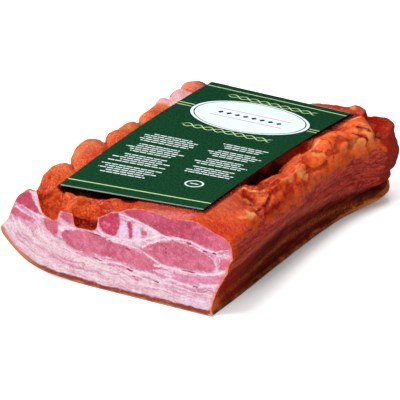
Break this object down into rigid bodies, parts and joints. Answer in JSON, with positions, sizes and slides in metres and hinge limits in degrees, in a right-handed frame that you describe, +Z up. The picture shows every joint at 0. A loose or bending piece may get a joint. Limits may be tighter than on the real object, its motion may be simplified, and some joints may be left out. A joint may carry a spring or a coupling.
{
  "type": "flat smoked pancetta",
  "caption": "Flat slab of smoked cured pork belly lying on its rind, cut across at the front to show streaky lean and fat, with a thin printed card on top.",
  "frame": {"origin": "bottom centre of the bounding box, on the surface that the slab rests on", "axes": "+Z up; the cut face looks along -Y; +Y runs along the slab's length to its closed far end"},
  "size_m": [0.17, 0.228, 0.0608],
  "materials": {
    "cured_meat": "glossy smoked surface, pink and white marbling on the cut face",
    "printed_card": "satin green print with gold lines and white fields"
  },
  "bodies": {
    "root": {"pancetta": "cured_meat", "label_card": "printed_card"}
  },
  "joints": []
}
